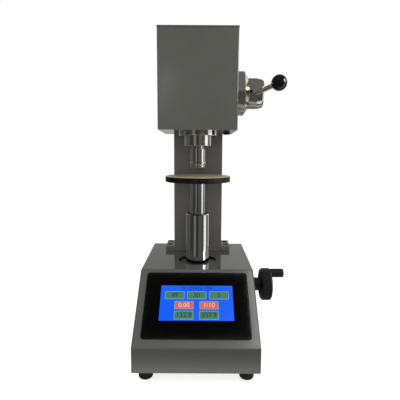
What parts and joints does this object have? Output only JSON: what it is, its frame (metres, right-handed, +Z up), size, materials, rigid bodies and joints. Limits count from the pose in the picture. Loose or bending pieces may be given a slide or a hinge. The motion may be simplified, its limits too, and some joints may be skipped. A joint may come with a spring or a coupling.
{
  "type": "hardness tester",
  "caption": "Bench ball-indentation hardness tester: sloped console base with touch panel, rear column, box head with load handle, hand-wheel driven anvil table.",
  "frame": {"origin": "on the bench plane under the feet, directly below the test axis on which the table and the indenter stand", "axes": "+Z up along the test axis, +X to the operator's right, towards the handwheel and the load handle, +Y to the rear, towards the column"},
  "size_m": [0.348, 0.3811, 0.727],
  "materials": {
    "grey_paint": "semi-gloss olive-grey enamel",
    "cast_grey": "painted casting",
    "bare_steel": "machined steel",
    "bright_chrome": "hard chrome, polished",
    "nickel": "polished nickel, warm",
    "table_steel": "ground top, blackened rim",
    "black_oxide": "black oxide",
    "bronze": "bearing bronze",
    "black_rubber": "moulded rubber",
    "black_plastic": "moulded, fine grain",
    "gloss_black": "polished",
    "display": "lit display",
    "circuit": "lacquered board",
    "sensor_steel": "stainless"
  },
  "bodies": {
    "frame": {"rubber_feet": "black_rubber", "base_plate": "cast_grey", "base_cover": "grey_paint", "cover_screws": "black_oxide", "frame_bolts": "bare_steel", "column_riser": "cast_grey", "column": "grey_paint", "column_cap": "grey_paint", "column_bolts": "black_oxide", "lift_housing": "cast_grey", "sleeve_flange": "bare_steel", "flange_screws": "black_oxide", "guide_sleeve": "bright_chrome", "guide_key": "bare_steel", "wiper_seal": "black_rubber", "bronze_bushes": "bronze", "nut_bearings": "bare_steel", "panel_bezel": "gloss_black", "lcd_screen": "display", "panel_housing": "black_plastic", "panel_clamps": "bare_steel", "power_supply": "bare_steel", "control_board": "circuit", "power_inlet": "black_plastic", "power_switch": "black_plastic", "head_frame": "cast_grey", "head_cover": "grey_paint", "head_lid": "grey_paint", "cable_grommet": "black_rubber", "handle_flange": "nickel", "nose_flange": "bright_chrome", "nose_collar": "bright_chrome", "return_spring": "black_oxide", "depth_sensor": "sensor_steel"},
    "lift": {"anvil_table": "table_steel", "lift_rod": "bare_steel"},
    "nut": {"lift_nut": "bronze", "nut_gear": "black_oxide"},
    "wheel": {"handwheel": "black_plastic", "wheel_shaft": "bare_steel", "bevel_pinion": "black_oxide", "grip_pin": "black_oxide"},
    "grip": {"crank_grip": "black_plastic"},
    "handle": {"handle_hub": "nickel", "handle_shaft": "bare_steel", "load_cam": "black_oxide", "lever_rod": "nickel", "ball_knob": "gloss_black", "hub_set_screw": "black_oxide"},
    "spindle_train": {"spindle": "bare_steel", "load_cell": "sensor_steel", "load_spring": "black_oxide", "load_carriage": "bare_steel", "roller_pin": "bare_steel", "cam_roller": "nickel", "indenter_sleeve": "bright_chrome", "ball_cap": "bright_chrome", "indenter_ball": "bright_chrome", "sensor_plunger": "sensor_steel"},
    "rocker": {"switch_rocker": "black_plastic"}
  },
  "joints": [
    {"name": "wheel_turn", "type": "hinge", "parent": "frame", "child": "wheel", "pos_m": [0, 0, 0.133], "axis": [-1, 0, 0], "range_deg": [-10800, 2160]},
    {"name": "grip_spin", "type": "hinge", "parent": "wheel", "child": "grip", "pos_m": [0.19, 0, 0.162], "axis": [1, 0, 0], "continuous": true},
    {"name": "nut_turn", "type": "hinge", "parent": "frame", "child": "nut", "pos_m": [0, 0, 0.15], "axis": [0, 0, 1], "range_deg": [-5400, 1080]},
    {"name": "lift_slide", "type": "slide", "parent": "frame", "child": "lift", "axis": [0, 0, 1], "range_m": [-0.075, 0.015]},
    {"name": "handle_turn", "type": "hinge", "parent": "frame", "child": "handle", "pos_m": [0.1, 0, 0.604], "axis": [-1, 0, 0], "range_deg": [0, 100]},
    {"name": "spindle_slide", "type": "slide", "parent": "frame", "child": "spindle_train", "axis": [0, 0, -1], "range_m": [0, 0.003], "deforming": ["return_spring"]},
    {"name": "rocker_tilt", "type": "hinge", "parent": "frame", "child": "rocker", "pos_m": [-0.10887, 0.1635, 0.097], "axis": [-1, 0, 0], "range_deg": [0, 20]}
  ],
  "couplings": [
    {"joint": "wheel_turn", "follows": "lift_slide", "rad_per_m": 2513.3},
    {"joint": "nut_turn", "follows": "lift_slide", "rad_per_m": 1256.6},
    {"joint": "spindle_slide", "follows": "handle_turn", "m_per_rad": 0.0017189}
  ]
}
